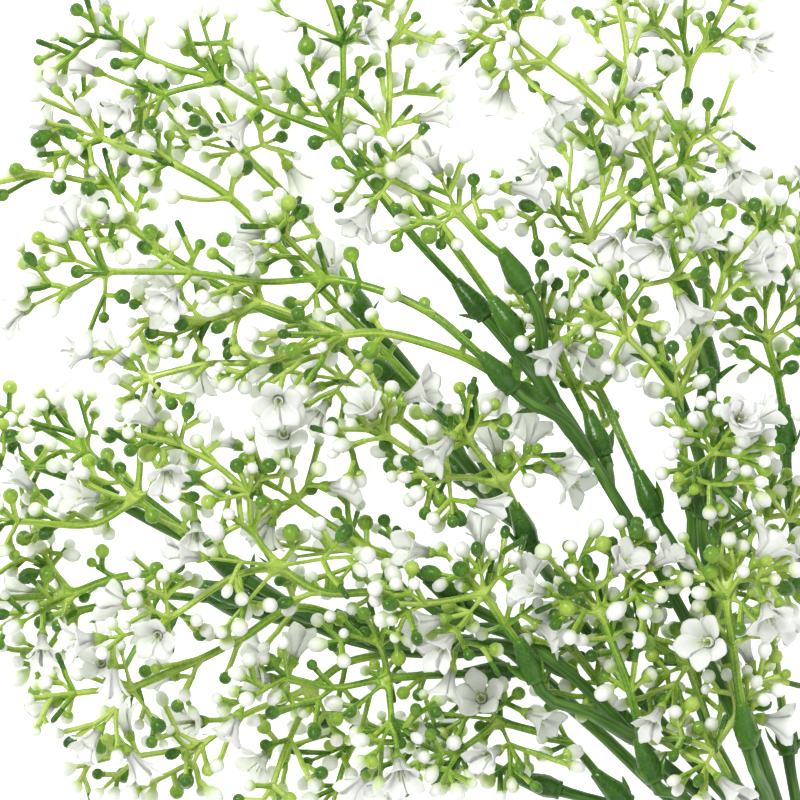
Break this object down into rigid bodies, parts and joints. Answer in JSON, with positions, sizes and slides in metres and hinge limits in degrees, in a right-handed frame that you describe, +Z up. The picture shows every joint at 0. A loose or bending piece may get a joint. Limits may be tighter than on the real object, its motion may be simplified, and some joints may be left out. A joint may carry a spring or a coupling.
{
  "type": "gypsophila stem",
  "caption": "Artificial gypsophila stem lying down: a bare stem forks into dark limbs that carry small branched sprigs of round buds and white five-lobed flowers.",
  "frame": {"origin": "on the surface under the bare stem, 60 mm short of the fork where the last limb leaves it", "axes": "+X along the bare stem, from its cut end to the flowering tips; +Z up from the surface it lies on"},
  "size_m": [0.5799, 0.2555, 0.0884],
  "materials": {
    "stem_dark": "semi-matt dark green moulded plastic over wire",
    "sprig_green": "soft satin yellow-green moulded plastic",
    "petal_white": "soft white moulded plastic, slightly translucent"
  },
  "bodies": {
    "root": {"main_stem": "stem_dark", "sprig_01": "sprig_green", "sprig_02": "sprig_green", "sprig_03": "sprig_green", "sprig_04": "sprig_green", "sprig_05": "sprig_green", "sprig_06": "sprig_green", "sprig_07": "sprig_green", "sprig_08": "sprig_green", "sprig_09": "sprig_green", "sprig_10": "sprig_green", "sprig_11": "sprig_green", "sprig_12": "sprig_green", "sprig_13": "sprig_green", "sprig_14": "sprig_green", "sprig_15": "sprig_green", "sprig_16": "sprig_green", "sprig_17": "sprig_green", "sprig_18": "sprig_green", "sprig_19": "sprig_green", "sprig_20": "sprig_green", "sprig_21": "sprig_green", "sprig_22": "sprig_green", "sprig_23": "sprig_green", "sprig_24": "sprig_green", "sprig_25": "sprig_green", "sprig_26": "sprig_green", "sprig_27": "sprig_green", "sprig_28": "sprig_green", "sprig_29": "sprig_green", "sprig_30": "sprig_green", "sprig_31": "sprig_green", "sprig_32": "sprig_green", "sprig_33": "sprig_green", "sprig_34": "sprig_green", "sprig_35": "sprig_green", "sprig_36": "sprig_green", "sprig_37": "sprig_green", "sprig_38": "sprig_green", "sprig_39": "sprig_green", "sprig_40": "sprig_green"}
  },
  "joints": []
}
